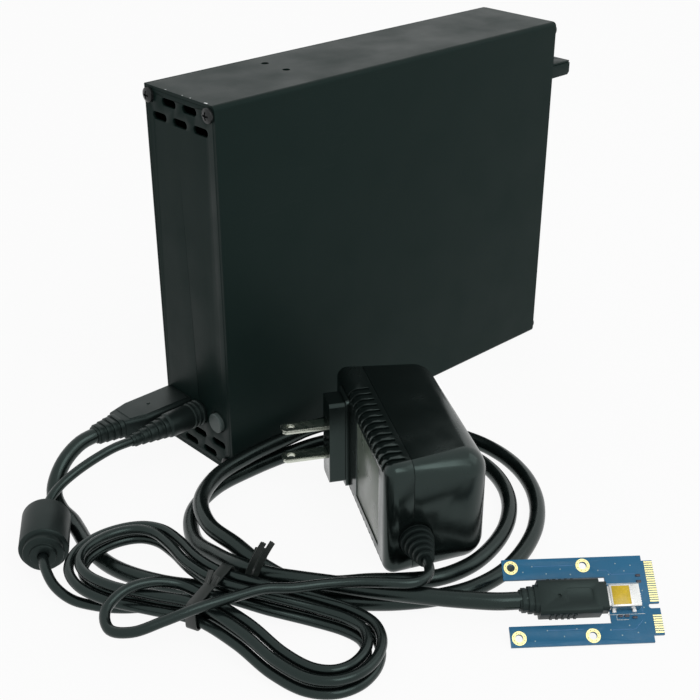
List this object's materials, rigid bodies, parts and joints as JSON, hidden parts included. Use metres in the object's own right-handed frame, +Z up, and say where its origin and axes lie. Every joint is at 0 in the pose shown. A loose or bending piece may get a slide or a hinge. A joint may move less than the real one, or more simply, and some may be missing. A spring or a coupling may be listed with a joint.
{
  "type": "expansion card housing with cabled mini card adapter",
  "caption": "Black steel housing for expansion cards, joined by a coiled cable to a small blue plug-in card, with its wall adapter and cord.",
  "frame": {"origin": "middle of the housing's underside, on the surface it stands on", "axes": "+X along the housing from its front panel to its rear panel, +Y from the cover's big side to the feet's big side, +Z up"},
  "size_m": [0.2959, 0.2193, 0.15],
  "materials": {
    "black_paint": "satin",
    "plated_steel": "satin",
    "black_screw": "semi-gloss",
    "foot_rubber": "matte",
    "green_board": "gloss",
    "slot_plastic": "matte",
    "chip_black": "matte",
    "button_plastic": "satin",
    "standoff_brass": "satin",
    "part_dark": "gloss",
    "moulded_black": "satin",
    "thick_cable": "satin",
    "thin_cord": "satin",
    "tie_black": "gloss",
    "blue_board": "gloss",
    "amber_tape": "gloss",
    "gold": "polished",
    "ferrite_grey": "matte",
    "adapter_black": "satin",
    "nickel_blade": "polished",
    "label_grey": "satin",
    "brown_board": "matte",
    "heat_sink_metal": "satin"
  },
  "bodies": {
    "kit": {"housing_cover": "black_paint", "cover_top": "black_paint", "housing_base": "black_paint", "corner_tabs": "black_paint", "front_panel": "black_paint", "rear_panel": "black_paint", "slot_cover_a": "black_paint", "slot_cover_b": "black_paint", "slot_cover_screws": "black_screw", "front_screws": "black_screw", "rear_screws": "black_screw", "rubber_feet": "foot_rubber", "main_board": "green_board", "pci_slot_a": "slot_plastic", "pci_slot_b": "slot_plastic", "bridge_chip": "chip_black", "interface_socket": "plated_steel", "dc_jack": "chip_black", "button_switch": "chip_black", "board_standoffs": "standoff_brass", "board_screws": "plated_steel", "board_parts": "part_dark", "interface_plug": "moulded_black", "plug_shell": "plated_steel", "interface_lead": "thick_cable", "interface_coil": "thick_cable", "interface_tail": "thick_cable", "coil_tie": "tie_black", "mini_plug": "moulded_black", "mini_plug_nose": "plated_steel", "dc_plug": "moulded_black", "dc_plug_barrel": "plated_steel", "power_lead": "thin_cord", "ferrite_cover": "moulded_black", "ferrite_core": "ferrite_grey", "power_run": "thin_cord", "power_hank": "thin_cord", "hank_tie": "tie_black", "power_tail": "thin_cord", "adapter_front": "adapter_black", "adapter_back": "adapter_black", "plug_block": "adapter_black", "prong_blades": "nickel_blade", "adapter_relief": "moulded_black", "label_plate": "label_grey", "adapter_board": "brown_board", "transformer": "ferrite_grey", "capacitors": "part_dark", "heat_sink": "heat_sink_metal"},
    "button": {"power_button": "button_plastic"},
    "card": {"card_board": "blue_board", "card_socket": "plated_steel", "card_socket_core": "chip_black", "pick_up_tape": "amber_tape", "edge_contacts": "gold", "hole_rings": "gold", "card_parts": "part_dark"}
  },
  "joints": [
    {"name": "power_button_press", "type": "slide", "parent": "kit", "child": "button", "axis": [1, 0, 0], "range_m": [0, 0.0015], "stiffness_N_per_m": 400},
    {"name": "card_pull", "type": "slide", "parent": "kit", "child": "card", "axis": [0.7683, -0.6401, 0], "range_m": [0, 0.012]}
  ]
}
